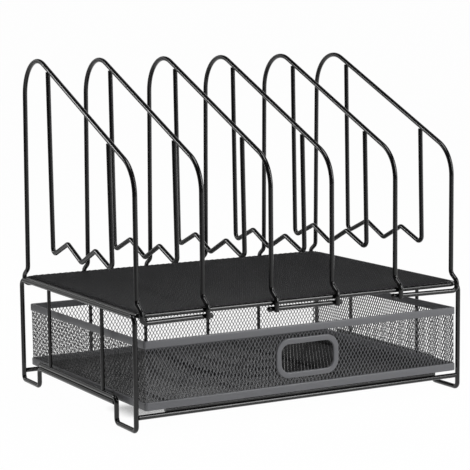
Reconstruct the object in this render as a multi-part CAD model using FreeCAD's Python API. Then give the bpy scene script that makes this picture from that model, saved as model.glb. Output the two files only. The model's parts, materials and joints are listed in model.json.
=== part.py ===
"""Desk sorter in black wire and expanded metal mesh, with a drawer under its shelf.

Three clip-on racks of bent wire dividers stand on a mesh shelf.  The shelf hangs between two
wire side loops, whose feet carry everything, and a mesh drawer slides between the loops on
four support wires that rise a little towards the front.

Millimetres.  +X is to the right, +Y to the back, +Z up.  The origin is on the ground in the
middle of the footprint.
"""
import FreeCAD
import Part
import math
import os

Vector = FreeCAD.Vector

# ---- wire stock ----
WIRE = 4.3                    # side loops, shelf rim, crosswires and racks
STRUT = 3.4                   # upright struts in the sides and the back
SUPPORT = 3.4                 # wires that the drawer runs on
BITE = 0.1                    # how far one wire sinks into the next at a weld
HAIRLINE = 0.02               # gap between pieces that lie along each other

# ---- footprint and frame ----
POST_SPAN_X = 332.0           # between the centrelines of the left and right loops
POST_SPAN_Y = 247.0           # between the centrelines of the front and rear posts
FOOT_LENGTH = 38.5            # from a post to the inner leg of its foot
LOOP_TOP_Z = 99.3             # centreline of the loops' top rail
LOWER_RAIL_Z = 19.2           # the loop's two ends lap along the bottom as a double rail
UPPER_RAIL_Z = 23.6
LAP_SHORT = 3.6               # each end stops this far before the other leg's centreline
LOOP_BEND = 6.0
FOOT_BEND = 4.5
SIDE_STRUT_Y = 58.0
BACK_STRUT_STEP = 4.0         # the back struts stand this far beside a rack's divider

# ---- shelf ----
RIM_OVER_LOOP = 0.5           # the shelf rim's centreline above the loops' top rail
RIM_CORNER = 5.0

# ---- expanded mesh, as thin sheets with a plain grid of openings ----
SHEET = 0.6
GRID_BAR = 5.2                # left between two openings
GRID_ACROSS_COUNT = 12        # openings along the shelf's and the drawer floor's width
GRID_DEEP_COUNT = 10          # openings along their depth
GRID_FRONT_COUNT = 10         # openings along the drawer's front and rear walls
GRID_SIDE_COUNT = 8           # openings along its side walls
GRID_HIGH_COUNT = 2           # openings up each wall
SHELF_EDGE = 1.0              # the mesh ends this far inside the rim's centreline

# ---- racks ----
RACK_WIDTH = 62.5             # between the planes of a rack's two dividers
RACK_SIDE_GAP = 0.25          # an end divider's plane, inside the rim's centreline
LEG_INSET = 5.0               # a divider's legs stand this far inside the rim's centreline
REAR_LEAN = 4.5               # how far the rear leg leans forward at its top
SLOPE_HEIGHT = 174.2          # of the sloping top wire above the rim, at the shelf's middle
SLOPE_RISE = 0.449            # rise of the sloping top wire per unit of depth
CROWN_BEND = 33.0
HOOK_REACH = 4.3              # the hooks pass outside the shelf rim, centre to centre
HOOK_HEIGHT = 3.4             # of a hook's shoulder above the rim
LEG_FOOT_HEIGHT = 10.0        # above the rim, where a leg starts to jog out to its hook
ROD_DROP = 5.5                # from the rim down to the rods that close the hooks
JOG_BEND = 6.0
HOOK_BEND = 5.0
ROD_STUB = 4.75               # the front rods run on past a divider
REAR_ROD_STUB = 1.6
ROD_BEAD = 2.5                # radius of the rounded bead at a front rod's end

# ---- zigzag wires inside the dividers ----
ZIGZAG_MIDDLE_Y = -8.0
ZIGZAG_HALF = 64.0            # from the middle to either upright
ZIGZAG_STEP = 29.75           # from a valley to the next peak
ZIGZAG_LEAN = 3.0             # both uprights lean back at the top
VALLEY_HEIGHT = 30.4          # of the zigzag's valleys above the rim
PEAK_HEIGHT = 13.8            # of its peaks above the valleys
ZIGZAG_RISE = 0.02            # the zigzag climbs towards the front
ZIGZAG_BEND = 5.0

# ---- drawer ----
DRAWER_SIDE_GAP = 4.0         # clear of the side loops' wires
DRAWER_PROUD = 5.5            # its front stands before the front posts' centrelines
DRAWER_REAR_GAP = 4.0         # its rear stops before the rear posts' centrelines
DRAWER_HEIGHT = 59.2
DRAWER_BASE_Z = 19.7          # at the front face
DRAWER_DROP = 3.2             # the drawer's rear end sits this much lower than its front
DRAWER_CORNER = 2.5
BAND_THICKNESS = 2.4
RIM_BAND_HEIGHT = 6.6
BASE_BAND_HEIGHT = 7.0
WALL_INSET = 1.0              # from a band's outer face to the mesh that it grips
FLOOR_LIFT = 1.2
BAND_GRIP = 1.0               # mesh left clear of the end of its groove
HANDLE_WIDTH = 64.0
HANDLE_HEIGHT = 35.4
HANDLE_BORDER = 5.2
HANDLE_CORNER = 13.0
HANDLE_Z = 30.1               # middle of the handle above the drawer's base
HANDLE_GRIP = 2.0             # how far the mesh reaches into the ring

# ---- drawer supports ----
SUPPORT_INSET = 37.7          # the outer runs, inside the drawer's sides
INNER_SUPPORT_SHARE = 0.38    # the inner runs, as a share of the outer ones' distance
SUPPORT_GAP = 0.3             # running clearance under the drawer
SUPPORT_OVERHANG = 1.75       # beyond the rear crosswire
SUPPORT_FRONT_INSET = 27.0    # the front support wire's ends, inside the posts

# ---- worked out from the sizes above ----
HALF_X = POST_SPAN_X / 2
HALF_Y = POST_SPAN_Y / 2
FOOT_Z = WIRE / 2
LEG_Y = HALF_Y - FOOT_LENGTH
RIM_HALF_X = HALF_X - WIRE
RIM_Z = LOOP_TOP_Z + RIM_OVER_LOOP
HOOK_TOP_Z = RIM_Z + HOOK_HEIGHT
LEG_FOOT_Z = RIM_Z + LEG_FOOT_HEIGHT
ROD_Z = RIM_Z - ROD_DROP
SLOPE_Z = RIM_Z + SLOPE_HEIGHT
VALLEY_Z = RIM_Z + VALLEY_HEIGHT
PEAK_Z = VALLEY_Z + PEAK_HEIGHT
MIDDLE_RACK_X = RACK_WIDTH / 2
END_DIVIDER_X = RIM_HALF_X - RACK_SIDE_GAP
INNER_DIVIDER_X = END_DIVIDER_X - RACK_WIDTH
DIVIDER_Y = HALF_Y - LEG_INSET
HOOK_Y = HALF_Y + HOOK_REACH
ROD_Y = HOOK_Y - WIRE + BITE
DRAWER_WIDTH = POST_SPAN_X - WIRE - 2 * DRAWER_SIDE_GAP
DRAWER_FRONT_Y = -HALF_Y - DRAWER_PROUD
DRAWER_DEPTH = POST_SPAN_Y + DRAWER_PROUD - DRAWER_REAR_GAP
DRAWER_SLOPE = DRAWER_DROP / DRAWER_DEPTH
OUTER_SUPPORT_X = DRAWER_WIDTH / 2 - SUPPORT_INSET
INNER_SUPPORT_X = INNER_SUPPORT_SHARE * OUTER_SUPPORT_X


def support_z(y):
    """Height of a support's centreline, which runs parallel to the drawer's base."""
    base = DRAWER_BASE_Z - (y - DRAWER_FRONT_Y) * DRAWER_SLOPE
    return base - SUPPORT_GAP - SUPPORT / 2


def crosswire_z(y, bite):
    """Height of a crosswire's centreline, right under the supports."""
    return support_z(y) - (SUPPORT + WIRE) / 2 + bite


def wire_through(points, bends):
    """Return a path along the points, with each inner corner rounded to its bend radius."""
    corners = [Vector(*point) for point in points]
    if not isinstance(bends, (list, tuple)):
        bends = [bends] * (len(corners) - 2)
    edges = []
    start = corners[0]
    for before, corner, after, bend in zip(corners, corners[1:], corners[2:], bends):
        arriving = (before - corner).normalize()
        leaving = (after - corner).normalize()
        half_angle = arriving.getAngle(leaving) / 2
        reach = bend / math.tan(half_angle)
        bisector = (arriving + leaving).normalize()
        middle = corner + bisector * (bend / math.sin(half_angle) - bend)
        arc_start = corner + arriving * reach
        arc_end = corner + leaving * reach
        edges.append(Part.LineSegment(start, arc_start).toShape())
        edges.append(Part.Arc(arc_start, middle, arc_end).toShape())
        start = arc_end
    edges.append(Part.LineSegment(start, corners[-1]).toShape())
    return Part.Wire(edges)


def bent_wire(points, bends, diameter=WIRE):
    """Return a round wire bent along the points."""
    path = wire_through(points, bends)
    start = Vector(*points[0])
    heading = Vector(*points[1]) - start
    section = Part.Wire([Part.makeCircle(diameter / 2, start, heading)])
    return path.makePipeShell([section], True, False)


def straight_wire(start, end, diameter=WIRE):
    """Return a straight round wire between two points."""
    run = Vector(*end) - Vector(*start)
    return Part.makeCylinder(diameter / 2, run.Length, Vector(*start), run)


def mirror_x(shape):
    """Return the shape's mirror image on the other side of the middle."""
    return shape.mirror(Vector(0, 0, 0), Vector(1, 0, 0))


def box_between(low, high):
    """Return a box between two opposite corners."""
    size = Vector(*high) - Vector(*low)
    return Part.makeBox(size.x, size.y, size.z, Vector(*low))


def rounded_plate(width, height, corner, thickness):
    """Return a plate with rounded corners, centred on the origin in X and Y, standing on Z = 0."""
    plate = box_between((-width / 2, -height / 2, 0), (width / 2, height / 2, thickness))
    upright = [edge for edge in plate.Edges if abs(edge.tangentAt(edge.FirstParameter).z) > 0.5]
    return plate.makeFillet(corner, upright)


# ---- frame ----

def side_loop():
    """The left loop: one wire whose two ends lap along the bottom, from leg to leg."""
    x = -HALF_X
    lap_end_y = LEG_Y - LAP_SHORT
    points = [
        (x, lap_end_y, UPPER_RAIL_Z),
        (x, -LEG_Y, UPPER_RAIL_Z),
        (x, -LEG_Y, FOOT_Z),
        (x, -HALF_Y, FOOT_Z),
        (x, -HALF_Y, LOOP_TOP_Z),
        (x, HALF_Y, LOOP_TOP_Z),
        (x, HALF_Y, FOOT_Z),
        (x, LEG_Y, FOOT_Z),
        (x, LEG_Y, LOWER_RAIL_Z),
        (x, -lap_end_y, LOWER_RAIL_Z),
    ]
    bends = [FOOT_BEND] * 3 + [LOOP_BEND] * 2 + [FOOT_BEND] * 3
    return bent_wire(points, bends)


def side_strut(y):
    """An upright on the left, from the double rail to the loop's top rail."""
    bottom = UPPER_RAIL_Z + WIRE / 2 - BITE
    top = LOOP_TOP_Z - WIRE / 2 + BITE
    return straight_wire((-HALF_X, y, bottom), (-HALF_X, y, top), STRUT)


def rear_strut(x):
    """An upright at the back, from the rear crosswire to the shelf rim."""
    bottom = crosswire_z(HALF_Y, BITE) + WIRE / 2 - BITE
    top = RIM_Z - WIRE / 2 + BITE
    return straight_wire((x, HALF_Y, bottom), (x, HALF_Y, top), STRUT)


def crosswire(y, bite):
    """A wire across the bottom, from the left post to the right one."""
    end = HALF_X - WIRE / 2 + BITE
    z = crosswire_z(y, bite)
    return straight_wire((-end, y, z), (end, y, z))


def shelf_rim():
    """The closed wire round the shelf, between the two loops."""
    corner = RIM_CORNER
    points = [
        (0, -HALF_Y, RIM_Z),
        (RIM_HALF_X, -HALF_Y, RIM_Z),
        (RIM_HALF_X, HALF_Y, RIM_Z),
        (-RIM_HALF_X, HALF_Y, RIM_Z),
        (-RIM_HALF_X, -HALF_Y, RIM_Z),
        (0, -HALF_Y, RIM_Z),
    ]
    return bent_wire(points, corner)


def grid_openings(width, height, columns, rows):
    """Return a plain grid of boxes over a width and a height, centred on the origin in X and Y."""
    step_x = (width - GRID_BAR) / columns
    step_y = (height - GRID_BAR) / rows
    size = Vector(step_x - GRID_BAR, step_y - GRID_BAR, 4 * SHEET)
    boxes = []
    for column in range(columns):
        for row in range(rows):
            low = Vector(
                -width / 2 + GRID_BAR + column * step_x, -height / 2 + GRID_BAR + row * step_y, -size.z / 2)
            boxes.append(box_between(low, low + size))
    return boxes


def shelf_mesh():
    """The expanded mesh on the rim's inner shoulder, as a sheet with a grid of openings."""
    bottom = RIM_Z + math.sqrt((WIRE / 2) ** 2 - SHELF_EDGE ** 2) + HAIRLINE
    width = 2 * (RIM_HALF_X - SHELF_EDGE)
    depth = 2 * (HALF_Y - SHELF_EDGE)
    sheet = rounded_plate(width, depth, RIM_CORNER - SHELF_EDGE, SHEET)
    sheet = sheet.cut(grid_openings(width, depth, GRID_ACROSS_COUNT, GRID_DEEP_COUNT))
    sheet.translate(Vector(0, 0, bottom))
    return sheet


# ---- racks ----

def beaded(rod, end):
    """Return a rod with a rounded bead on its end."""
    return rod.fuse(Part.makeSphere(ROD_BEAD, Vector(*end)))


def divider_outline():
    """The divider's side view from its rear hook to its front hook, as (y, z) corners."""
    rear_top_y = DIVIDER_Y - REAR_LEAN
    return [
        (HOOK_Y, HOOK_TOP_Z),
        (DIVIDER_Y, LEG_FOOT_Z),
        (rear_top_y, SLOPE_Z + SLOPE_RISE * rear_top_y),
        (-DIVIDER_Y, SLOPE_Z - SLOPE_RISE * DIVIDER_Y),
        (-DIVIDER_Y, LEG_FOOT_Z),
        (-HOOK_Y, HOOK_TOP_Z),
    ]


def divider(x):
    """A divider whose hooks end on the rods of its rack."""
    hook_end = ROD_Z - WIRE / 2
    points = [(x, HOOK_Y, hook_end)]
    points += [(x, y, z) for y, z in divider_outline()]
    points += [(x, -HOOK_Y, hook_end)]
    return bent_wire(points, [JOG_BEND, JOG_BEND, CROWN_BEND, CROWN_BEND, JOG_BEND, JOG_BEND])


def end_divider():
    """The leftmost divider: its wire turns under the rim and becomes the rods of its rack."""
    x = -END_DIVIDER_X
    next_x = -INNER_DIVIDER_X
    drift = (HOOK_Y - ROD_Y) / (next_x - x)
    front_end = next_x + ROD_STUB
    rear_end = next_x + REAR_ROD_STUB
    points = [
        (rear_end, HOOK_Y - drift * (rear_end - x), ROD_Z),
        (x, HOOK_Y, ROD_Z),
    ]
    points += [(x, y, z) for y, z in divider_outline()]
    points += [
        (x, -HOOK_Y, ROD_Z),
        (front_end, -HOOK_Y + drift * (front_end - x), ROD_Z),
    ]
    legs = [JOG_BEND, JOG_BEND, CROWN_BEND, CROWN_BEND, JOG_BEND, JOG_BEND]
    wire = bent_wire(points, [HOOK_BEND] + legs + [HOOK_BEND])
    return beaded(wire, points[-1])


def middle_rod(y, stub):
    """A rod under the shelf rim that joins the middle rack's two dividers."""
    end = MIDDLE_RACK_X + stub
    return straight_wire((-end, y, ROD_Z), (end, y, ROD_Z))


def middle_front_rod():
    """The middle rack's front rod, with a bead on both ends."""
    end = MIDDLE_RACK_X + ROD_STUB
    rod = middle_rod(-ROD_Y, ROD_STUB)
    return beaded(beaded(rod, (-end, -ROD_Y, ROD_Z)), (end, -ROD_Y, ROD_Z))


def zigzag(x):
    """The wire inside a divider: two uprights joined by a zigzag, welded under the slope."""
    rear_y = ZIGZAG_MIDDLE_Y + ZIGZAG_HALF
    front_y = ZIGZAG_MIDDLE_Y - ZIGZAG_HALF
    under_slope = WIRE / 2 * math.hypot(1, SLOPE_RISE)
    tops = [SLOPE_Z + SLOPE_RISE * (y + ZIGZAG_LEAN) - under_slope for y in (rear_y, front_y)]
    valley_y = 2 * ZIGZAG_STEP
    corners = [
        (rear_y, VALLEY_Z),
        (ZIGZAG_MIDDLE_Y + ZIGZAG_STEP, PEAK_Z),
        (ZIGZAG_MIDDLE_Y, VALLEY_Z),
        (ZIGZAG_MIDDLE_Y - ZIGZAG_STEP, PEAK_Z),
        (front_y, VALLEY_Z),
    ]
    points = [(x, rear_y + ZIGZAG_LEAN, tops[0])]
    points += [(x, y, z + ZIGZAG_RISE * (valley_y - y) / 2) for y, z in corners]
    points += [(x, front_y + ZIGZAG_LEAN, tops[1])]
    return bent_wire(points, ZIGZAG_BEND)


# ---- drawer ----

def lay_on_slope(shape):
    """Move a drawer piece from its own level axes to where it rests on the supports."""
    shape.translate(Vector(0, DRAWER_FRONT_Y, DRAWER_BASE_Z))
    tilt = math.degrees(math.atan(DRAWER_SLOPE))
    shape.rotate(Vector(0, DRAWER_FRONT_Y, DRAWER_BASE_Z), Vector(1, 0, 0), -tilt)
    return shape


def band(bottom, height):
    """A ring round the drawer, in the drawer's own axes: Y = 0 is its front face."""
    ring = rounded_plate(DRAWER_WIDTH, DRAWER_DEPTH, DRAWER_CORNER, height)
    inside = box_between(
        (-DRAWER_WIDTH / 2 + BAND_THICKNESS, -DRAWER_DEPTH / 2 + BAND_THICKNESS, 0),
        (DRAWER_WIDTH / 2 - BAND_THICKNESS, DRAWER_DEPTH / 2 - BAND_THICKNESS, height),
    )
    ring = ring.cut(inside)
    ring.translate(Vector(0, DRAWER_DEPTH / 2, bottom))
    return ring


def wall_sheet(low_x, low_y, high_x, high_y, whole_half=0.0):
    """An upright mesh wall, from groove to groove, with a grid of openings between the bands.

    The wall stays whole to whole_half on either side of its middle.
    """
    bottom = FLOOR_LIFT + SHEET + BAND_GRIP
    top = DRAWER_HEIGHT - BAND_GRIP
    wall = box_between((low_x, low_y, bottom), (high_x, high_y, top))
    clear_low = BASE_BAND_HEIGHT - GRID_BAR / 2
    clear_high = DRAWER_HEIGHT - RIM_BAND_HEIGHT + GRID_BAR / 2
    along_x = high_x - low_x > high_y - low_y
    run = max(high_x - low_x, high_y - low_y) - 2 * BAND_THICKNESS
    columns = GRID_FRONT_COUNT if along_x else GRID_SIDE_COUNT
    boxes = grid_openings(run, clear_high - clear_low, columns, GRID_HIGH_COUNT)
    middle = Vector((low_x + high_x) / 2, (low_y + high_y) / 2, (clear_low + clear_high) / 2)
    boxes = [box for box in boxes if abs(box.BoundBox.Center.x) > whole_half]
    for box in boxes:
        box.rotate(Vector(0, 0, 0), Vector(1, 0, 0), 90)
        if not along_x:
            box.rotate(Vector(0, 0, 0), Vector(0, 0, 1), 90)
        box.translate(middle)
    return wall.cut(boxes)


def handle_outline(inset, thickness):
    """The handle's rounded outline, standing upright, centred on its own middle."""
    plate = rounded_plate(
        HANDLE_WIDTH - 2 * inset, HANDLE_HEIGHT - 2 * inset, HANDLE_CORNER - inset, thickness)
    plate.rotate(Vector(0, 0, 0), Vector(1, 0, 0), 90)
    plate.translate(Vector(0, thickness / 2, 0))
    return plate


def drawer_pieces():
    """Return the drawer's named pieces, laid on the supports."""
    side = DRAWER_WIDTH / 2 - WALL_INSET
    front = WALL_INSET
    rear = DRAWER_DEPTH - WALL_INSET
    handle_middle = Vector(0, front + SHEET / 2, HANDLE_Z)

    front_mesh = wall_sheet(-side + SHEET, front, side - SHEET, front + SHEET, HANDLE_WIDTH / 2)
    opening = handle_outline(HANDLE_BORDER - HANDLE_GRIP, BAND_THICKNESS)
    opening.translate(handle_middle)
    front_mesh = front_mesh.cut(opening)

    handle_depth = SHEET + 2 * WALL_INSET
    handle_ring = handle_outline(0, handle_depth)
    handle_ring = handle_ring.cut(handle_outline(HANDLE_BORDER, handle_depth))
    handle_ring.translate(handle_middle)

    floor_edge = WALL_INSET + SHEET
    floor_mesh = box_between(
        (-DRAWER_WIDTH / 2 + floor_edge, floor_edge, FLOOR_LIFT),
        (DRAWER_WIDTH / 2 - floor_edge, DRAWER_DEPTH - floor_edge, FLOOR_LIFT + SHEET))
    floor_width = DRAWER_WIDTH - 2 * BAND_THICKNESS
    floor_depth = DRAWER_DEPTH - 2 * BAND_THICKNESS
    floor_grid = grid_openings(floor_width, floor_depth, GRID_ACROSS_COUNT, GRID_DEEP_COUNT)
    for box in floor_grid:
        box.translate(Vector(0, DRAWER_DEPTH / 2, FLOOR_LIFT))

    meshes = {
        "drawer_front_mesh": front_mesh,
        "drawer_rear_mesh": wall_sheet(-side + SHEET, rear - SHEET, side - SHEET, rear),
        "drawer_left_mesh": wall_sheet(-side, front, -side + SHEET, rear),
        "drawer_right_mesh": wall_sheet(side - SHEET, front, side, rear),
        "drawer_floor_mesh": floor_mesh.cut(floor_grid),
    }
    grips = {
        "drawer_rim_band": band(DRAWER_HEIGHT - RIM_BAND_HEIGHT, RIM_BAND_HEIGHT),
        "drawer_base_band": band(0, BASE_BAND_HEIGHT),
        "drawer_handle_ring": handle_ring,
    }
    pieces = dict(meshes)
    for name, grip in grips.items():
        pieces[name] = grip.cut(list(meshes.values()))
    return {name: lay_on_slope(shape) for name, shape in pieces.items()}


# ---- drawer supports ----

def support_run(x):
    """A wire that the drawer slides on, from the front support wire to the back."""
    front = -HALF_Y + SUPPORT / 2 - BITE
    rear = HALF_Y + SUPPORT_OVERHANG
    return straight_wire((x, front, support_z(front)), (x, rear, support_z(rear)), SUPPORT)


def support_front_wire():
    """The wire on top of the front crosswire, which closes the runs' front ends."""
    end = HALF_X - SUPPORT_FRONT_INSET
    z = support_z(-HALF_Y)
    return straight_wire((-end, -HALF_Y, z), (end, -HALF_Y, z), SUPPORT)


def frame_pieces():
    """Return the named pieces of the frame, its shelf and the drawer supports."""
    loop = side_loop()
    front_strut = side_strut(-SIDE_STRUT_Y)
    rear_strut_of_side = side_strut(SIDE_STRUT_Y)
    near = MIDDLE_RACK_X + BACK_STRUT_STEP
    far = INNER_DIVIDER_X - BACK_STRUT_STEP
    return {
        "left_side_loop": loop,
        "right_side_loop": mirror_x(loop),
        "left_front_strut": front_strut,
        "left_rear_strut": rear_strut_of_side,
        "right_front_strut": mirror_x(front_strut),
        "right_rear_strut": mirror_x(rear_strut_of_side),
        "back_strut_outer_left": rear_strut(-far),
        "back_strut_inner_left": rear_strut(-near),
        "back_strut_inner_right": rear_strut(near),
        "back_strut_outer_right": rear_strut(far),
        "front_crosswire": crosswire(-HALF_Y, -HAIRLINE),
        "rear_crosswire": crosswire(HALF_Y, BITE),
        "shelf_rim": shelf_rim(),
        "shelf_mesh": shelf_mesh(),
        "support_front_wire": support_front_wire(),
        "support_run_outer_left": support_run(-OUTER_SUPPORT_X),
        "support_run_inner_left": support_run(-INNER_SUPPORT_X),
        "support_run_inner_right": support_run(INNER_SUPPORT_X),
        "support_run_outer_right": support_run(OUTER_SUPPORT_X),
    }


def rack_pieces():
    """Return the named wires of the three clip-on racks."""
    left = {
        "end_divider": end_divider(),
        "inner_divider": divider(-INNER_DIVIDER_X),
        "end_zigzag": zigzag(-END_DIVIDER_X),
        "inner_zigzag": zigzag(-INNER_DIVIDER_X),
    }
    pieces = {"left_rack_" + name: shape for name, shape in left.items()}
    pieces.update({"right_rack_" + name: mirror_x(shape) for name, shape in left.items()})
    pieces.update({
        "middle_rack_left_divider": divider(-MIDDLE_RACK_X),
        "middle_rack_right_divider": divider(MIDDLE_RACK_X),
        "middle_rack_left_zigzag": zigzag(-MIDDLE_RACK_X),
        "middle_rack_right_zigzag": zigzag(MIDDLE_RACK_X),
        "middle_rack_front_rod": middle_front_rod(),
        "middle_rack_rear_rod": middle_rod(ROD_Y, REAR_ROD_STUB),
    })
    return pieces


def main():
    """Build every piece and write one STEP file for each."""
    os.makedirs("parts", exist_ok=True)
    pieces = {**frame_pieces(), **rack_pieces(), **drawer_pieces()}
    for name, shape in pieces.items():
        shape.exportStep(os.path.join("parts", name + ".step"))
        print(name, "solids", len(shape.Solids), "valid", shape.isValid(), "mm3", round(shape.Volume))


main()
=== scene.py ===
"""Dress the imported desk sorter: expanded mesh, folded steel bands, paint, lamps and camera."""

import json
import logging
import math
from dataclasses import dataclass, field
from enum import Enum

import bmesh
import bpy
from mathutils import Matrix, Vector

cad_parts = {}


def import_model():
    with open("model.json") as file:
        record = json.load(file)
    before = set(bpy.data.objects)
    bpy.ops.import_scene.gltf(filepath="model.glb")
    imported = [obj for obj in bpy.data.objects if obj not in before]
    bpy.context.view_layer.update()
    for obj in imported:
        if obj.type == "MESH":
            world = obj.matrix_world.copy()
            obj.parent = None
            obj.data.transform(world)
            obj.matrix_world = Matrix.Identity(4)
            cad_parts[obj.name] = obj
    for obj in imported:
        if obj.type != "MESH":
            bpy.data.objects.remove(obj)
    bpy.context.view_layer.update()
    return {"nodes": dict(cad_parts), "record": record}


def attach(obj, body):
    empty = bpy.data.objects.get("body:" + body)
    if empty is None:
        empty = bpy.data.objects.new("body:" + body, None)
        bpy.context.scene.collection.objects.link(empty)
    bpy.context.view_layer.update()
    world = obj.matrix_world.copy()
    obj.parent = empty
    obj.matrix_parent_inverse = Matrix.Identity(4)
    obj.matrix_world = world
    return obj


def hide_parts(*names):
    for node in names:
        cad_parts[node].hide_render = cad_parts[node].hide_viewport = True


LOG = logging.getLogger("sorter")
MM = 0.001

# How close in height, in metres, an edge's ends are when it counts as level, and how near a cut snaps.
LEVEL = 1e-6
SNAP = 1e-7

# The fold, in radians, past which an edge is rounded, and the one, in degrees, up to which bands shade smoothly.
SHARP_FOLD = 1.0
BAND_SMOOTH = 50.0


class Body(Enum):
    """The two bodies that pieces ride on."""

    FRAME = "frame"
    DRAWER = "drawer"


class Slot(Enum):
    """The record's material slots."""

    WIRE = "wire_black"
    MESH = "mesh_black"
    TRIM = "trim_graphite"


class Coat(Enum):
    """The paints. LIT_FRONT_MESH is the drawer's front mesh, a copy of the mesh paint made greyer as painted
    sheen where the key light falls on the front; FLOOR is the glossier one of its floor.
    """

    WIRE = "GlossBlackWire"
    MESH = "SatinBlackMesh"
    LIT_FRONT_MESH = "MeshWithPaintedFrontSheen"
    FLOOR = "DrawerFloorBlack"
    TRIM = "SatinGraphiteBand"


PLAIN_COAT = {Slot.WIRE: Coat.WIRE, Slot.MESH: Coat.MESH, Slot.TRIM: Coat.TRIM}


# ---------------------------------------------------------------- finishes

# Where the grain's noises and slopes start to show and where they show in full.
CLOUDS_SHOW = (0.3, 0.7)
SPECKS_SHOW = (0.52, 0.78)
SLOPE_HOLDS_DUST = (0.35, 1.0)
EDGE_SHOWS = (0.54, 0.72)

CLOUD_SCALE = 46.0
SPECK_SCALE = 310.0
PEEL_STRENGTH = 0.35


class NodeTree:
    """A small wrapper that adds and joins shader nodes."""

    def __init__(self, tree: bpy.types.NodeTree) -> None:
        """Keep the tree.

        Args:
            tree: The node tree to build in.
        """
        self.tree = tree

    def add(self, kind: str, **inputs: object) -> bpy.types.Node:
        """Add a node and set its inputs.

        Args:
            kind: The node's type name.
            **inputs: Values for inputs, with spaces in names written as underscores.

        Returns:
            The new node.
        """
        node = self.tree.nodes.new(kind)
        for name, value in inputs.items():
            node.inputs[name.replace("_", " ")].default_value = value
        return node

    def join(self, source: bpy.types.NodeSocket, target: bpy.types.NodeSocket) -> None:
        """Link two sockets.

        Args:
            source: The output socket.
            target: The input socket.
        """
        self.tree.links.new(source, target)

    def spread(
        self, value: bpy.types.NodeSocket, start: float, end: float, low: float = 0.0, high: float = 1.0,
        soft: bool = False
    ) -> bpy.types.NodeSocket:
        """Turn one range of values into another, held at both ends.

        Args:
            value: The socket to read.
            start: The value that becomes the low one.
            end: The value that becomes the high one.
            low: The low result.
            high: The high result.
            soft: Whether the step is eased at its ends.

        Returns:
            The result's socket.
        """
        node = self.add("ShaderNodeMapRange", From_Min=start, From_Max=end, To_Min=low, To_Max=high)
        if soft:
            node.interpolation_type = "SMOOTHSTEP"
        self.join(value, node.inputs["Value"])
        return node.outputs["Result"]

    def combine(
        self, first: bpy.types.NodeSocket, second: bpy.types.NodeSocket, operation: str = "MULTIPLY"
    ) -> bpy.types.NodeSocket:
        """Join two values with a math node.

        Args:
            first: One value.
            second: The other value.
            operation: What the math node does with them.

        Returns:
            The result's socket.
        """
        node = self.add("ShaderNodeMath")
        node.operation = operation
        self.join(first, node.inputs[0])
        self.join(second, node.inputs[1])
        return node.outputs["Value"]

    def vector(
        self, value: bpy.types.NodeSocket, operation: str, other: tuple[float, float, float] = (0.0, 0.0, 0.0)
    ) -> bpy.types.Node:
        """Work on a vector with a vector math node.

        Args:
            value: The socket to read.
            operation: What the node does.
            other: The second vector, where the operation has one.

        Returns:
            The node.
        """
        node = self.add("ShaderNodeVectorMath")
        node.operation = operation
        node.inputs[1].default_value = other
        self.join(value, node.inputs[0])
        return node


def paint_grain_group() -> bpy.types.NodeTree:
    """Build the shared group for sprayed paint: orange peel, cloudy gloss and settled dust.

    Returns:
        The node group, with outputs Height, Gloss and Dust.
    """
    group = bpy.data.node_groups.new("SprayedPaintGrain", "ShaderNodeTree")
    face = group.interface
    for name in ("Peel Scale", "Dust Reach"):
        face.new_socket(name, in_out="INPUT", socket_type="NodeSocketFloat")
    for name in ("Height", "Gloss", "Dust"):
        face.new_socket(name, in_out="OUTPUT", socket_type="NodeSocketFloat")
    build = NodeTree(group)
    entry = build.add("NodeGroupInput")
    leave = build.add("NodeGroupOutput")
    place = build.add("ShaderNodeTexCoord")

    peel = build.add("ShaderNodeTexNoise", Detail=3.0, Roughness=0.45)
    build.join(place.outputs["Object"], peel.inputs["Vector"])
    build.join(entry.outputs["Peel Scale"], peel.inputs["Scale"])
    build.join(peel.outputs["Fac"], leave.inputs["Height"])

    cloud = build.add("ShaderNodeTexNoise", Scale=CLOUD_SCALE, Detail=5.0, Roughness=0.6)
    build.join(place.outputs["Object"], cloud.inputs["Vector"])
    build.join(cloud.outputs["Fac"], leave.inputs["Gloss"])

    facing = build.add("ShaderNodeNewGeometry")
    split = build.add("ShaderNodeSeparateXYZ")
    build.join(facing.outputs["Normal"], split.inputs["Vector"])
    upward = build.spread(split.outputs["Z"], *SLOPE_HOLDS_DUST)
    speck = build.add("ShaderNodeTexNoise", Scale=SPECK_SCALE, Detail=6.0, Roughness=0.7)
    build.join(place.outputs["Object"], speck.inputs["Vector"])
    sparse = build.spread(speck.outputs["Fac"], *SPECKS_SHOW)
    settled = build.combine(upward, sparse)
    reach = build.combine(settled, entry.outputs["Dust Reach"])
    build.join(reach, leave.inputs["Dust"])
    return group


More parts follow.
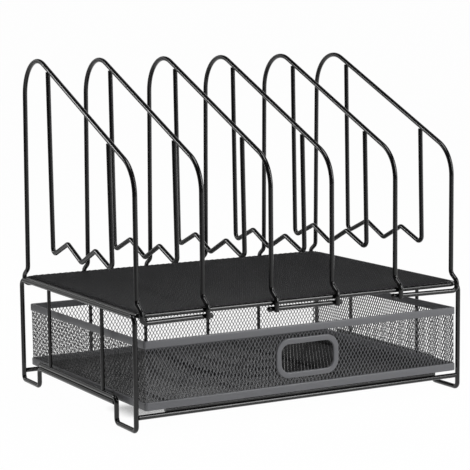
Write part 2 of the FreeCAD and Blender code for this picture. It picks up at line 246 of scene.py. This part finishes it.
@dataclass(frozen=True)
class Paint:
    """A sprayed paint over steel.

    Attributes:
        coat: Which coat it is, which also names the material.
        colour: Linear base colour.
        dust_colour: Linear colour of the settled dust.
        rough_low: Roughness where the paint is glossiest.
        rough_high: Roughness where it is cloudiest.
        specular: Specular level.
        peel_scale: Scale of the orange peel.
        peel_height: Height of the orange peel in metres.
        dust: How far the dust covers.
        edge_wear: How much paler the paint is along its edges.
    """

    coat: Coat
    colour: tuple[float, float, float]
    dust_colour: tuple[float, float, float]
    rough_low: float
    rough_high: float
    specular: float
    peel_scale: float
    peel_height: float
    dust: float
    edge_wear: float

    def make(self, grain: bpy.types.NodeTree) -> bpy.types.Material:
        """Build the material.

        Args:
            grain: The shared grain group.

        Returns:
            The finished material.
        """
        material = bpy.data.materials.new(self.coat.value)
        material.use_nodes = True
        build = NodeTree(material.node_tree)
        shader = material.node_tree.nodes["Principled BSDF"]
        shader.inputs["Specular IOR Level"].default_value = self.specular

        group = build.add("ShaderNodeGroup")
        group.node_tree = grain
        group.inputs["Peel Scale"].default_value = self.peel_scale
        group.inputs["Dust Reach"].default_value = self.dust

        edge = build.add("ShaderNodeNewGeometry")
        worn = build.spread(edge.outputs["Pointiness"], *EDGE_SHOWS, high=self.edge_wear)
        cover = build.combine(group.outputs["Dust"], worn, "MAXIMUM")
        tint = build.add("ShaderNodeMix")
        tint.data_type = "RGBA"
        tint.inputs["A"].default_value = (*self.colour, 1.0)
        tint.inputs["B"].default_value = (*self.dust_colour, 1.0)
        build.join(cover, tint.inputs["Factor"])
        build.join(tint.outputs["Result"], shader.inputs["Base Color"])

        rough = build.spread(group.outputs["Gloss"], *CLOUDS_SHOW, low=self.rough_low, high=self.rough_high)
        build.join(rough, shader.inputs["Roughness"])

        bump = build.add("ShaderNodeBump", Strength=PEEL_STRENGTH, Distance=self.peel_height)
        build.join(group.outputs["Height"], bump.inputs["Height"])
        build.join(bump.outputs["Normal"], shader.inputs["Normal"])
        return material


PAINTS = (
    Paint(
        coat=Coat.WIRE, colour=(0.002, 0.002, 0.0022), dust_colour=(0.03, 0.029, 0.028),
        rough_low=0.18, rough_high=0.24, specular=0.5,
        peel_scale=260.0, peel_height=0.000001, dust=0.05, edge_wear=0.0),
    Paint(
        coat=Coat.MESH, colour=(0.014, 0.014, 0.0153), dust_colour=(0.04, 0.039, 0.038),
        rough_low=0.36, rough_high=0.46, specular=0.5,
        peel_scale=900.0, peel_height=0.000005, dust=0.1, edge_wear=0.0),
    Paint(
        coat=Coat.FLOOR, colour=(0.018, 0.018, 0.0192), dust_colour=(0.03, 0.029, 0.028),
        rough_low=0.14, rough_high=0.2, specular=0.5,
        peel_scale=900.0, peel_height=0.000003, dust=0.1, edge_wear=0.0),
    # The front mesh's copy of the mesh paint, greyer than the other meshes as painted sheen of the key light on
    # the front.
    Paint(
        coat=Coat.LIT_FRONT_MESH, colour=(0.122, 0.124, 0.131), dust_colour=(0.14, 0.14, 0.14),
        rough_low=0.28, rough_high=0.38, specular=0.5,
        peel_scale=900.0, peel_height=0.000005, dust=0.2, edge_wear=0.0),
    Paint(
        coat=Coat.TRIM, colour=(0.136, 0.138, 0.147), dust_colour=(0.22, 0.22, 0.22),
        rough_low=0.32, rough_high=0.44, specular=0.5,
        peel_scale=1100.0, peel_height=0.00002, dust=0.2, edge_wear=0.25),
)


@dataclass
class Finishes:
    """The object's paints, one for each coat."""

    made: dict[Coat, bpy.types.Material] = field(default_factory=dict)

    def build(self) -> None:
        """Make every material."""
        grain = paint_grain_group()
        for paint in PAINTS:
            self.made[paint.coat] = paint.make(grain)

    def paint(self, piece: bpy.types.Object, coat: Coat) -> None:
        """Give a piece its paint.

        Args:
            piece: The mesh object.
            coat: The coat it takes.
        """
        piece.data.materials.clear()
        piece.data.materials.append(self.made[coat])


# ---------------------------------------------------------------- building


def publish(
    name: str,
    form: bmesh.types.BMesh,
    body: Body,
    slot: Slot,
    finishes: Finishes,
    stands_for: tuple[str, ...],
    smooth_angle: float = 40.0,
    coat: Coat | None = None,
) -> None:
    """Turn a bmesh into a finished piece that rides on its body.

    Args:
        name: The piece's name.
        form: The shape, in the object's frame. It is freed.
        body: The body it rides on.
        slot: Its material slot.
        finishes: The paints.
        stands_for: The CAD nodes that it replaces.
        smooth_angle: Edges sharper than this many degrees stay sharp.
        coat: Its paint, where that isn't the slot's plain one.
    """
    bmesh.ops.recalc_face_normals(form, faces=form.faces[:])
    mesh = bpy.data.meshes.new(name)
    form.to_mesh(mesh)
    form.free()
    mesh.shade_smooth()
    mesh.set_sharp_from_angle(angle=math.radians(smooth_angle))
    piece = bpy.data.objects.new(name, mesh)
    bpy.context.scene.collection.objects.link(piece)
    finishes.paint(piece, coat or PLAIN_COAT[slot])
    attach(piece, body.value)
    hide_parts(*stands_for)
    mesh.calc_loop_triangles()
    LOG.info("%s: %d triangles", name, len(mesh.loop_triangles))


def everything(form: bmesh.types.BMesh) -> list:
    """List all geometry of a bmesh, as the cutting operators want it.

    Args:
        form: The bmesh.

    Returns:
        Its vertices, edges and faces.
    """
    return form.verts[:] + form.edges[:] + form.faces[:]


def trim(form: bmesh.types.BMesh, point: Vector, outward: Vector) -> None:
    """Cut away what lies beyond a plane.

    Args:
        form: The bmesh to cut.
        point: A point on the plane.
        outward: The plane's normal, towards what goes.
    """
    bmesh.ops.bisect_plane(
        form, geom=everything(form), dist=SNAP, plane_co=point, plane_no=outward, clear_outer=True)


def level_folds(form: bmesh.types.BMesh) -> list[bmesh.types.BMEdge]:
    """Find the level edges at which two faces meet sharply.

    Args:
        form: The bmesh.

    Returns:
        Those edges.
    """
    return [
        edge for edge in form.edges
        if len(edge.link_faces) == 2 and abs(edge.verts[0].co.z - edge.verts[1].co.z) < LEVEL
        and edge.calc_face_angle() > SHARP_FOLD
    ]


@dataclass(frozen=True)
class ExpandedMetal:
    """Diamond mesh, slit and stretched from one sheet of steel.

    Attributes:
        pitch: Width of a diamond, in metres.
        rise: Height of a diamond.
        strand: Width of a strand.
        twist: How far a strand's edges stand out of the sheet.
        gauge: Thickness of the sheet.
    """

    pitch: float = 3.65 * MM
    rise: float = 6.2 * MM
    strand: float = 0.5 * MM
    twist: float = 0.3 * MM
    gauge: float = 0.4 * MM

    def lattice(self, width: float, height: float) -> bmesh.types.BMesh:
        """Make a flat panel of strands in the XY plane, centred on the origin.

        Args:
            width: Its size along X, across the diamonds.
            height: Its size along Y, along the diamonds.

        Returns:
            The panel, one face thick.
        """
        columns = math.ceil(width / self.pitch) + 2
        rows = math.ceil(height / self.rise) + 2
        form = bmesh.new()
        bmesh.ops.create_grid(form, x_segments=columns, y_segments=rows, size=0.5)
        bmesh.ops.scale(form, vec=(columns * self.pitch, rows * self.rise, 1.0), verts=form.verts[:])
        slits = form.edges[:]
        bmesh.ops.poke(form, faces=form.faces[:])
        inner = [edge for edge in slits if edge.is_valid and len(edge.link_faces) == 2]
        bmesh.ops.dissolve_edges(form, edges=inner, use_verts=False)
        ring = bmesh.ops.inset_individual(
            form, faces=form.faces[:], thickness=self.strand / 2, use_even_offset=True)
        strands = set(ring["faces"])
        gaps = [face for face in form.faces if face not in strands]
        for gap in gaps:
            middle = gap.calc_center_median()
            for vert in gap.verts:
                vert.co.z += self.twist * (vert.co.y - middle.y) / (self.rise / 2)
        bmesh.ops.delete(form, geom=gaps, context="FACES_ONLY")
        for across, size in ((Vector((1, 0, 0)), width), (Vector((0, 1, 0)), height)):
            trim(form, across * size / 2, across)
            trim(form, -across * size / 2, -across)
        return form

    def lying(self, width: float, depth: float) -> bmesh.types.BMesh:
        """Make a level panel whose diamonds lie across, centred on the origin.

        Args:
            width: Its size along X, along the diamonds.
            depth: Its size along Y, across the diamonds.

        Returns:
            The panel, one face thick.
        """
        form = self.lattice(depth, width)
        bmesh.ops.rotate(
            form, verts=form.verts[:], cent=(0.0, 0.0, 0.0), matrix=Matrix.Rotation(math.radians(90.0), 3, "Z"))
        return form

    def thicken(self, form: bmesh.types.BMesh) -> None:
        """Give the strands their thickness.

        Args:
            form: A panel that is one face thick.
        """
        bmesh.ops.solidify(form, geom=form.faces[:], thickness=self.gauge)

    def punch(self, form: bmesh.types.BMesh, middle: Vector, half: tuple[float, float], corner: float) -> None:
        """Cut an eight-sided hole whose sides touch a rounded rectangle.

        Args:
            form: A panel in the XY plane.
            middle: The hole's middle.
            half: The rectangle's half width and half height.
            corner: Its corner radius.
        """
        sides: list[tuple[Vector, Vector]] = []
        pivot = Vector((half[0] - corner, half[1] - corner, 0.0))
        for sign_x, sign_y in ((1, 1), (1, -1), (-1, 1), (-1, -1)):
            diagonal = Vector((sign_x, sign_y, 0.0)).normalized()
            knee = Vector((sign_x * pivot.x, sign_y * pivot.y, 0.0))
            sides.append((middle + knee + diagonal * corner, diagonal))
        for sign in (1, -1):
            sides.append((middle + Vector((sign * half[0], 0.0, 0.0)), Vector((sign, 0.0, 0.0))))
            sides.append((middle + Vector((0.0, sign * half[1], 0.0)), Vector((0.0, sign, 0.0))))
        reach = max(half) + self.rise
        for point, outward in sides:
            near = [face for face in form.faces if (face.calc_center_median() - middle).length < reach]
            edges = {edge for face in near for edge in face.edges}
            verts = {vert for face in near for vert in face.verts}
            bmesh.ops.bisect_plane(
                form, geom=near + list(edges) + list(verts), dist=SNAP, plane_co=point, plane_no=outward)
        inside = [
            face for face in form.faces
            if all((face.calc_center_median() - point).dot(outward) < 0.0 for point, outward in sides)
        ]
        bmesh.ops.delete(form, geom=inside, context="FACES")


@dataclass(frozen=True)
class DrawerPlace:
    """Where the drawer stands: its own axes start at the bottom of its front face.

    Attributes:
        front: Y of the front face.
        base: Z of the front face's bottom edge.
        drop: How much lower its rear end sits.
        width: Size along X.
        depth: Size along Y.
        height: Size along Z.
        corner: Radius of the upright corners.
    """

    front: float = -129.0 * MM
    base: float = 19.7 * MM
    drop: float = 3.2 * MM
    width: float = 319.7 * MM
    depth: float = 248.5 * MM
    height: float = 59.2 * MM
    corner: float = 2.5 * MM

    def matrix(self) -> Matrix:
        """Give the move from the drawer's own axes to the object's.

        Returns:
            The transform.
        """
        tilt = math.atan(self.drop / self.depth)
        return Matrix.Translation((0.0, self.front, self.base)) @ Matrix.Rotation(-tilt, 4, "X")


@dataclass
class Shelf:
    """The mesh shelf, which wraps over the rim wire all round.

    Attributes:
        finishes: The paints.
        metal: The mesh it is made of.
        half_x: Half the distance between the rim's side rails.
        half_y: Half the distance between its front and rear rails.
        corner: The rim's corner radius.
        rim_z: Height of the rim's centreline.
        wire: The rim's radius.
        wrap: How far the mesh goes past the rim's crown, along its surface.
        slack: How far past the wrap, as a factor of it, the mesh may reach before it is cut off.
    """

    finishes: Finishes
    metal: ExpandedMetal = ExpandedMetal()
    half_x: float = 161.7 * MM
    half_y: float = 123.5 * MM
    corner: float = 5.0 * MM
    rim_z: float = 99.8 * MM
    wire: float = 2.15 * MM
    wrap: float = 0.5 * MM
    slack: float = 1.01

    def beyond_rim(self, x: float, y: float) -> tuple[float, Vector, Vector]:
        """Measure a point against the rim's centreline, seen from above.

        Args:
            x: The point's X.
            y: The point's Y.

        Returns:
            The distance outside the centreline, the nearest point on it, and the way outward.
        """
        inner = Vector((self.half_x - self.corner, self.half_y - self.corner))
        away = Vector((abs(x) - inner.x, abs(y) - inner.y))
        if away.x > 0.0 and away.y > 0.0:
            outward = away.normalized()
            near = inner + outward * self.corner
            distance = away.length - self.corner
        elif away.x - self.corner > away.y - self.corner:
            outward = Vector((1.0, 0.0))
            near = Vector((self.half_x, abs(y)))
            distance = abs(x) - self.half_x
        else:
            outward = Vector((0.0, 1.0))
            near = Vector((abs(x), self.half_y))
            distance = abs(y) - self.half_y
        signs = Vector((math.copysign(1.0, x), math.copysign(1.0, y)))
        return distance, Vector((near.x * signs.x, near.y * signs.y)), Vector(
            (outward.x * signs.x, outward.y * signs.y))

    def build(self) -> None:
        """Make the shelf's mesh and bend its edge over the rim."""
        form = self.metal.lying(2 * (self.half_x + self.wrap), 2 * (self.half_y + self.wrap))
        lost = []
        for vert in form.verts:
            distance, near, outward = self.beyond_rim(vert.co.x, vert.co.y)
            if distance > self.wrap * self.slack:
                lost.append(vert)
            elif distance > 0.0:
                radius = self.wire + vert.co.z + self.metal.twist
                turn = distance / (self.wire + self.metal.gauge)
                flat = near + outward * radius * math.sin(turn)
                vert.co = Vector((flat.x, flat.y, self.rim_z + radius * math.cos(turn)))
            else:
                vert.co.z += self.rim_z + self.wire + self.metal.twist
        bmesh.ops.delete(form, geom=lost, context="VERTS")
        self.metal.thicken(form)
        publish("shelf_expanded_mesh", form, Body.FRAME, Slot.MESH, self.finishes, ("shelf_mesh",))


@dataclass
class Drawer:
    """The drawer's mesh walls and floor, its two bands and its handle ring.

    Attributes:
        finishes: The paints.
        place: Where it stands.
        rear_metal: The mesh of its rear wall.
        left_metal: The mesh of its left wall.
        right_metal: The mesh of its right wall.
        front_metal: The mesh of its front wall.
        floor_metal: The mesh of its floor.
        inset: From the bands' outer face to the mesh.
        floor: Height of the floor above the base.
        floor_gap: From the walls' mesh to the floor's edge.
        band: Thickness of the folded bands.
        lip_round: Radius along the bands' edges.
        rim_height: Height of the top band.
        base_height: Height of the bottom band.
        grip: Mesh left clear of the end of its fold.
        handle: The handle ring's width and height.
        handle_border: Width of the ring itself.
        handle_corner: Its outer corner radius.
        handle_round: Radius along its edges.
        handle_z: Its middle above the base.
        corner_steps: Faces round each upright corner of a band.
        lip_steps: Faces round a band's edge.
        handle_steps: Faces round each corner of the ring.
        handle_lip_steps: Faces round the ring's edge.
    """

    finishes: Finishes
    place: DrawerPlace = DrawerPlace()
    rear_metal: ExpandedMetal = ExpandedMetal(strand=0.48 * MM, twist=0.12 * MM, gauge=0.42 * MM)
    left_metal: ExpandedMetal = ExpandedMetal(strand=0.48 * MM, twist=0.12 * MM, gauge=0.34 * MM)
    right_metal: ExpandedMetal = ExpandedMetal(strand=0.48 * MM, twist=0.12 * MM, gauge=0.6 * MM)
    front_metal: ExpandedMetal = ExpandedMetal(strand=0.39 * MM, twist=0.1 * MM, gauge=0.35 * MM)
    floor_metal: ExpandedMetal = ExpandedMetal(strand=0.62 * MM, twist=-0.3 * MM, gauge=0.33 * MM)
    inset: float = 1.3 * MM
    floor: float = 1.5 * MM
    floor_gap: float = 0.3 * MM
    band: float = 2.4 * MM
    lip_round: float = 0.9 * MM
    rim_height: float = 6.6 * MM
    base_height: float = 7.0 * MM
    grip: float = 1.0 * MM
    handle: tuple[float, float] = (64.0 * MM, 35.4 * MM)
    handle_border: float = 5.2 * MM
    handle_corner: float = 13.0 * MM
    handle_round: float = 1.0 * MM
    handle_z: float = 30.1 * MM
    corner_steps: int = 6
    lip_steps: int = 3
    handle_steps: int = 12
    handle_lip_steps: int = 4

    def wall(
        self, name: str, run: float, turn: float, out: float, node: str, metal: ExpandedMetal, hole: bool = False
    ) -> None:
        """Stand one mesh wall in its folds.

        Args:
            name: The piece's name.
            run: Its length.
            turn: Degrees about the upright axis, with the front wall at 0.
            out: From the drawer's middle to the wall.
            node: The CAD node it stands for.
            metal: Its mesh.
            hole: Whether it is the front wall, with the handle's hole and a coat of its own, greyer as painted
                sheen of the key light on the front.
        """
        place = self.place
        low = self.floor + self.grip
        high = place.height - self.grip
        form = metal.lattice(run, high - low)
        if hole:
            half = (self.handle[0] / 2 - self.handle_border / 2, self.handle[1] / 2 - self.handle_border / 2)
            middle = Vector((0.0, self.handle_z - (low + high) / 2, 0.0))
            metal.punch(form, middle, half, self.handle_corner - self.handle_border / 2)
        metal.thicken(form)
        stand = (
            place.matrix()
            @ Matrix.Translation((0.0, place.depth / 2, (low + high) / 2))
            @ Matrix.Rotation(math.radians(turn), 4, "Z")
            @ Matrix.Translation((0.0, -out, 0.0))
            @ Matrix.Rotation(math.radians(90.0), 4, "X")
        )
        form.transform(stand)
        # The front wall takes the greyer mesh paint, a painted sheen of the key light; the other walls keep the
        # black mesh paint.
        coat = Coat.LIT_FRONT_MESH if hole else Coat.MESH
        publish(name, form, Body.DRAWER, Slot.MESH, self.finishes, (node,), coat=coat)

    def folded_band(self, name: str, bottom: float, height: float, node: str) -> None:
        """Make a band of folded strip round the drawer.

        Args:
            name: The piece's name.
            bottom: Height of its lower edge above the drawer's base.
            height: Its own height.
            node: The CAD node it stands for.
        """
        place = self.place
        form = bmesh.new()
        bmesh.ops.create_cube(form, size=1.0)
        bmesh.ops.scale(form, vec=(place.width, place.depth, height), verts=form.verts[:])
        caps = [face for face in form.faces if abs(face.normal.z) > 0.5]
        bmesh.ops.delete(form, geom=caps, context="FACES_ONLY")
        uprights = [edge for edge in form.edges if abs((edge.verts[0].co - edge.verts[1].co).z) > height / 2]
        bmesh.ops.bevel(
            form, geom=uprights, offset=place.corner, affect="EDGES", segments=self.corner_steps, profile=0.5,
            material=-1)
        bmesh.ops.solidify(form, geom=form.faces[:], thickness=self.band)
        bmesh.ops.recalc_face_normals(form, faces=form.faces[:])
        bmesh.ops.bevel(
            form, geom=level_folds(form), offset=self.lip_round, affect="EDGES", segments=self.lip_steps,
            profile=0.5, material=-1, clamp_overlap=True)
        form.transform(place.matrix() @ Matrix.Translation((0.0, place.depth / 2, bottom + height / 2)))
        publish(name, form, Body.DRAWER, Slot.TRIM, self.finishes, (node,), smooth_angle=BAND_SMOOTH)

    def handle_ring(self) -> None:
        """Make the rounded ring of the finger pull."""
        place = self.place
        form = bmesh.new()
        bmesh.ops.create_grid(form, x_segments=1, y_segments=1, size=0.5)
        bmesh.ops.scale(form, vec=(self.handle[0], self.handle[1], 1.0), verts=form.verts[:])
        bmesh.ops.bevel(
            form, geom=form.verts[:], offset=self.handle_corner, affect="VERTICES",
            segments=self.handle_steps, profile=0.5, material=-1)
        ring = bmesh.ops.inset_region(
            form, faces=form.faces[:], thickness=self.handle_border, use_even_offset=True, use_boundary=True)
        hole = [face for face in form.faces if face not in set(ring["faces"])]
        bmesh.ops.delete(form, geom=hole, context="FACES_ONLY")
        bmesh.ops.solidify(form, geom=form.faces[:], thickness=2 * self.inset)
        bmesh.ops.recalc_face_normals(form, faces=form.faces[:])
        bmesh.ops.bevel(
            form, geom=level_folds(form), offset=self.handle_round, affect="EDGES",
            segments=self.handle_lip_steps, profile=0.5, material=-1)
        centre = sum(vert.co.z for vert in form.verts) / len(form.verts)
        stand = (
            place.matrix()
            @ Matrix.Translation((0.0, self.inset, self.handle_z))
            @ Matrix.Rotation(math.radians(90.0), 4, "X")
            @ Matrix.Translation((0.0, 0.0, -centre))
        )
        form.transform(stand)
        publish(
            "handle_ring", form, Body.DRAWER, Slot.TRIM, self.finishes, ("drawer_handle_ring",),
            smooth_angle=BAND_SMOOTH)

    def floor_panel(self) -> None:
        """Lay the mesh floor between the folds of the bottom band."""
        place = self.place
        edge = 2 * (self.inset + self.floor_gap)
        form = self.floor_metal.lattice(place.width - edge, place.depth - edge)
        self.floor_metal.thicken(form)
        form.transform(place.matrix() @ Matrix.Translation((0.0, place.depth / 2, self.floor)))
        publish(
            "floor_expanded_mesh", form, Body.DRAWER, Slot.MESH, self.finishes, ("drawer_floor_mesh",),
            coat=Coat.FLOOR)

    def build(self) -> None:
        """Make every piece of the drawer."""
        place = self.place
        across = place.width - 2 * self.inset
        along = place.depth - 2 * self.inset
        to_side = place.width / 2 - self.inset
        to_end = place.depth / 2 - self.inset
        self.wall("front_expanded_mesh", across, 0.0, to_end, "drawer_front_mesh", self.front_metal, hole=True)
        self.wall("right_expanded_mesh", along, 90.0, to_side, "drawer_right_mesh", self.right_metal)
        self.wall("rear_expanded_mesh", across, 180.0, to_end, "drawer_rear_mesh", self.rear_metal)
        self.wall("left_expanded_mesh", along, -90.0, to_side, "drawer_left_mesh", self.left_metal)
        self.floor_panel()
        self.folded_band("rim_band", place.height - self.rim_height, self.rim_height, "drawer_rim_band")
        self.folded_band("base_band", 0.0, self.base_height, "drawer_base_band")
        self.handle_ring()


# ---------------------------------------------------------------- studio


@dataclass(frozen=True)
class Lamp:
    """A soft rectangular lamp.

    Attributes:
        name: The lamp's name.
        place: Where it hangs.
        aim: The point it faces.
        size: Its width and height.
        power: Its power in watts.
    """

    name: str
    place: tuple[float, float, float]
    aim: tuple[float, float, float]
    size: tuple[float, float]
    power: float

    def hang(self) -> None:
        """Add the lamp to the scene."""
        data = bpy.data.lights.new(self.name, "AREA")
        data.shape = "RECTANGLE"
        data.size, data.size_y = self.size
        data.energy = self.power
        lamp = bpy.data.objects.new(self.name, data)
        lamp.location = self.place
        facing = Vector(self.aim) - Vector(self.place)
        lamp.rotation_euler = facing.to_track_quat("-Z", "Y").to_euler()
        bpy.context.scene.collection.objects.link(lamp)


@dataclass
class Studio:
    """The pale floor and backdrop, the dim room round them, the lamps and the camera.

    Attributes:
        azimuth: The way the camera looks, in degrees from +Y towards +X.
        down: How far it looks down, in degrees.
        roll: Its roll, in degrees.
        focal: Its focal length in millimetres.
        sensor: The width of its frame in millimetres.
        clip: The nearest and the farthest it sees.
        stand: Where it stands.
        room: Strength of the room's own light.
        paper: How pale the floor is by itself.
        floor_reach: From the floor's middle to its edges.
        backdrop: Height of the backdrop.
        near_fade: Where the floor's own white starts and where it is full, from the near side.
        left_fade: The same from the left.
        left_slant: How far that left edge slants with the distance.
        right_fade: The same on the right, where the near side doesn't count.
        shade_middle: Middle of the box in which the floor keeps the shadow.
        shade_reach: Half that box's width, depth and height.
        shade_fade: How far outside the box the floor is fully white.
        shade_white: The share of white inside and outside the box.
        lamps: The lamps.
    """

    azimuth: float = 29.123
    down: float = 7.29
    roll: float = -0.552
    focal: float = 129.86
    sensor: float = 36.0
    clip: tuple[float, float] = (0.05, 50.0)
    stand: tuple[float, float, float] = (-0.76818, -1.37727, 0.34526)
    room: float = 0.06
    paper: float = 0.93
    floor_reach: float = 6.0
    backdrop: float = 4.0
    near_fade: tuple[float, float] = (-0.55, -0.35)
    left_fade: tuple[float, float] = (-0.42, -0.26)
    left_slant: float = 0.145
    right_fade: tuple[float, float] = (0.0, 0.3)
    shade_middle: tuple[float, float, float] = (0.0, -0.045, 0.0)
    shade_reach: tuple[float, float, float] = (0.128, 0.012, 1.0)
    shade_fade: float = 0.025
    shade_white: tuple[float, float] = (0.3, 0.985)
    lamps: tuple[Lamp, ...] = (
        Lamp("OverheadLamp", (-0.05, -0.15, 1.35), (0.0, 0.0, 0.1), (0.6, 0.6), 5.6),
        Lamp("KeyLamp", (0.85, -1.45, 0.95), (0.0, 0.0, 0.1), (0.6, 1.2), 21.0),
        Lamp("RightPanel", (1.5, -0.4, 0.3), (0.0, 0.0, 0.15), (1.2, 0.8), 5.0),
        Lamp("LeftPanel", (-1.08, 1.06, 0.79), (0.0, 0.0, 0.25), (0.25, 0.5), 4.2),
        Lamp("BackPanel", (-0.66, 1.39, 0.62), (0.0, 0.0, 0.15), (1.3, 0.9), 2.3),
    )

    def seen_directly(self, build: NodeTree) -> bpy.types.NodeSocket:
        """Give a mask of the rays that show the background.

        Args:
            build: The node tree to build in.

        Returns:
            A socket that is 1 for camera, glossy and transmission rays.
        """
        path = build.add("ShaderNodeLightPath")
        seen = build.combine(path.outputs["Is Camera Ray"], path.outputs["Is Glossy Ray"], "MAXIMUM")
        return build.combine(seen, path.outputs["Is Transmission Ray"], "MAXIMUM")

    def surround(self) -> None:
        """Make the world: a dim plain grey room."""
        world = bpy.data.worlds.new("StudioWorld")
        world.use_nodes = True
        bpy.context.scene.world = world
        room = world.node_tree.nodes["Background"]
        room.inputs["Color"].default_value = (1.0, 1.0, 1.0, 1.0)
        room.inputs["Strength"].default_value = self.room

    def white_share(self, build: NodeTree) -> bpy.types.NodeSocket:
        """Say how much of the floor's white is its own, by place.

        Round the object, behind it and to its right the floor is white by itself. Far out on the near
        side and on the left it is plain and lit by the lamps, and so it is in part in the box under the
        drawer's front, where it keeps the shadow.

        Args:
            build: The node tree to build in.

        Returns:
            A socket from 0 to 1.
        """
        place = build.add("ShaderNodeTexCoord").outputs["Object"]
        turned = build.add("ShaderNodeMapping", Rotation=(0.0, 0.0, math.radians(self.azimuth)))
        build.join(place, turned.inputs["Vector"])
        split = build.add("ShaderNodeSeparateXYZ")
        build.join(turned.outputs["Vector"], split.inputs["Vector"])
        slant = build.add("ShaderNodeMath")
        slant.operation = "MULTIPLY_ADD"
        slant.inputs[1].default_value = self.left_slant
        build.join(split.outputs["Y"], slant.inputs[0])
        build.join(split.outputs["X"], slant.inputs[2])
        near = build.spread(split.outputs["Y"], *self.near_fade, soft=True)
        left = build.spread(slant.outputs["Value"], *self.left_fade, soft=True)
        right = build.spread(split.outputs["X"], *self.right_fade, soft=True)
        open_side = build.combine(build.combine(near, left), right, "MAXIMUM")

        side = build.vector(place, "SUBTRACT", self.shade_middle).outputs["Vector"]
        apart = build.vector(side, "ABSOLUTE").outputs["Vector"]
        past = build.vector(apart, "SUBTRACT", self.shade_reach).outputs["Vector"]
        beyond = build.vector(past, "MAXIMUM").outputs["Vector"]
        away = build.vector(beyond, "LENGTH").outputs["Value"]
        inside, outside = self.shade_white
        clear = build.spread(away, 0.0, self.shade_fade, inside, outside, soft=True)
        return build.combine(open_side, clear)

    def pale(self) -> bpy.types.Material:
        """Make the white of the floor and the backdrop, which keeps a faint shadow.

        Returns:
            The material.
        """
        material = bpy.data.materials.new("PaleStudio")
        material.use_nodes = True
        build = NodeTree(material.node_tree)
        material.node_tree.nodes.clear()
        share = build.combine(self.seen_directly(build), self.white_share(build))
        matt = build.add("ShaderNodeBsdfDiffuse", Color=(self.paper, self.paper, self.paper, 1.0))
        glow = build.add("ShaderNodeEmission", Color=(1.0, 1.0, 1.0, 1.0), Strength=1.0)
        mix = build.add("ShaderNodeMixShader")
        build.join(share, mix.inputs[0])
        build.join(matt.outputs["BSDF"], mix.inputs[1])
        build.join(glow.outputs["Emission"], mix.inputs[2])
        leave = build.add("ShaderNodeOutputMaterial")
        build.join(mix.outputs["Shader"], leave.inputs["Surface"])
        return material

    def sweep(self) -> None:
        """Lay the floor and stand the backdrop on its far edge."""
        form = bmesh.new()
        bmesh.ops.create_grid(form, x_segments=1, y_segments=1, size=self.floor_reach)
        turn = math.radians(self.azimuth)
        far = Vector((math.sin(turn), math.cos(turn), 0.0))
        rear = [edge for edge in form.edges if all(vert.co.y > 0.0 for vert in edge.verts)]
        raised = bmesh.ops.extrude_edge_only(form, edges=rear)
        tops = [part for part in raised["geom"] if isinstance(part, bmesh.types.BMVert)]
        bmesh.ops.translate(form, vec=(0.0, 0.0, self.backdrop), verts=tops)
        bmesh.ops.rotate(
            form, verts=form.verts[:], cent=(0.0, 0.0, 0.0),
            matrix=Vector((0.0, 1.0, 0.0)).rotation_difference(far).to_matrix())
        mesh = bpy.data.meshes.new("studio_sweep")
        form.to_mesh(mesh)
        form.free()
        mesh.materials.append(self.pale())
        sweep = bpy.data.objects.new("studio_sweep", mesh)
        bpy.context.scene.collection.objects.link(sweep)

    def place_camera(self) -> None:
        """Stand the camera at the viewing angle."""
        turn = math.radians(self.azimuth)
        dip = math.radians(self.down)
        roll = math.radians(self.roll)
        forward = Vector((math.sin(turn) * math.cos(dip), math.cos(turn) * math.cos(dip), -math.sin(dip)))
        right = Vector((math.cos(turn), -math.sin(turn), 0.0))
        up = right.cross(forward)
        across = right * math.cos(roll) + up * math.sin(roll)
        upward = up * math.cos(roll) - right * math.sin(roll)
        data = bpy.data.cameras.new("ViewCamera")
        data.lens = self.focal
        data.sensor_width = self.sensor
        data.sensor_fit = "HORIZONTAL"
        data.clip_start, data.clip_end = self.clip
        camera = bpy.data.objects.new("ViewCamera", data)
        pose = Matrix((across, upward, -forward)).transposed().to_4x4()
        pose.translation = Vector(self.stand)
        camera.matrix_world = pose
        bpy.context.scene.collection.objects.link(camera)
        bpy.context.scene.camera = camera

    def build(self) -> None:
        """Set up the whole studio."""
        bpy.context.scene.view_settings.view_transform = "Standard"
        self.surround()
        self.sweep()
        for lamp in self.lamps:
            lamp.hang()
        self.place_camera()


def dress_nodes(frame: dict, finishes: Finishes) -> None:
    """Give every CAD node the paint of its slot.

    Args:
        finishes: The paints.
    """
    by_node = {part["node"]: part["material_slot"] for part in frame["record"]["subparts"]}
    for name, node in frame["nodes"].items():
        finishes.paint(node, PLAIN_COAT[Slot(by_node[name])])
        LOG.info("%s: painted", name)


def main() -> None:
    """Dress the frame, build the sub-assemblies and set up the studio."""
    logging.basicConfig(level=logging.INFO, format="%(name)s: %(message)s")
    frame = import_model()
    finishes = Finishes()
    finishes.build()
    dress_nodes(frame, finishes)
    Shelf(finishes).build()
    Drawer(finishes).build()
    Studio().build()


if __name__ == "__main__":
    main()
